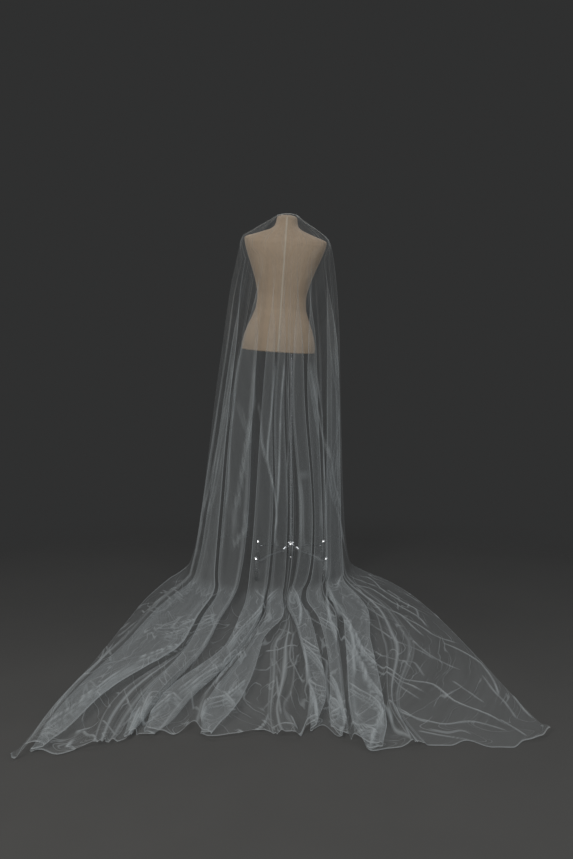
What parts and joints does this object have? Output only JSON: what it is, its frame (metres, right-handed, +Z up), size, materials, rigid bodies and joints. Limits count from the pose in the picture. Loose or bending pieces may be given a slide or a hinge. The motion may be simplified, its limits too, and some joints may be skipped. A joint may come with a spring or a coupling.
{
  "type": "cathedral veil on a limbless dress form with a pole stand",
  "caption": "Long sheer tulle veil gathered at the neck of a linen dress form on a wheeled pole stand, its pleats running out into a floor train.",
  "frame": {"origin": "bottom centre of the whole object's box, on the floor", "axes": "+Z up, -Y the way the train runs out behind the form's back, +Y the way its chest faces, +X to the right seen from behind"},
  "size_m": [1.655, 2.1978, 1.7651],
  "materials": {
    "tulle": "sheer soft bridal tulle, fine hexagonal net, faint sheen",
    "binding": "narrow matte white tape",
    "linen": "natural beige linen, plain weave, matte",
    "chrome": "polished chrome plate",
    "rubber": "dark moulded caster tread"
  },
  "bodies": {
    "stand": {"veil_panel": "tulle", "gather_binding": "binding", "form_torso": "linen", "stand_pole": "chrome", "stand_hub": "chrome", "stand_nut": "chrome", "leg_front_left": "chrome", "leg_front_right": "chrome", "leg_back_left": "chrome", "leg_back_right": "chrome", "socket_front_left": "chrome", "socket_front_right": "chrome", "socket_back_left": "chrome", "socket_back_right": "chrome"},
    "caster_front_left": {"fork_front_left": "chrome"},
    "caster_front_right": {"fork_front_right": "chrome"},
    "caster_back_left": {"fork_back_left": "chrome"},
    "caster_back_right": {"fork_back_right": "chrome"},
    "roller_front_left": {"wheel_front_left": "rubber"},
    "roller_front_right": {"wheel_front_right": "rubber"},
    "roller_back_left": {"wheel_back_left": "rubber"},
    "roller_back_right": {"wheel_back_right": "rubber"}
  },
  "joints": [
    {"name": "swivel_front_left", "type": "hinge", "parent": "stand", "child": "caster_front_left", "pos_m": [-0.15221, 1.08585, 0.06], "axis": [0, 0, 1], "continuous": true},
    {"name": "swivel_front_right", "type": "hinge", "parent": "stand", "child": "caster_front_right", "pos_m": [0.18721, 1.08585, 0.06], "axis": [0, 0, 1], "continuous": true},
    {"name": "swivel_back_left", "type": "hinge", "parent": "stand", "child": "caster_back_left", "pos_m": [-0.15221, 0.74644, 0.06], "axis": [0, 0, 1], "continuous": true},
    {"name": "swivel_back_right", "type": "hinge", "parent": "stand", "child": "caster_back_right", "pos_m": [0.18721, 0.74644, 0.06], "axis": [0, 0, 1], "continuous": true},
    {"name": "roll_front_left", "type": "hinge", "parent": "caster_front_left", "child": "roller_front_left", "pos_m": [-0.15221, 1.07485, 0.0225], "axis": [1, 0, 0], "continuous": true},
    {"name": "roll_front_right", "type": "hinge", "parent": "caster_front_right", "child": "roller_front_right", "pos_m": [0.18721, 1.07485, 0.0225], "axis": [1, 0, 0], "continuous": true},
    {"name": "roll_back_left", "type": "hinge", "parent": "caster_back_left", "child": "roller_back_left", "pos_m": [-0.15221, 0.73544, 0.0225], "axis": [1, 0, 0], "continuous": true},
    {"name": "roll_back_right", "type": "hinge", "parent": "caster_back_right", "child": "roller_back_right", "pos_m": [0.18721, 0.73544, 0.0225], "axis": [1, 0, 0], "continuous": true}
  ]
}
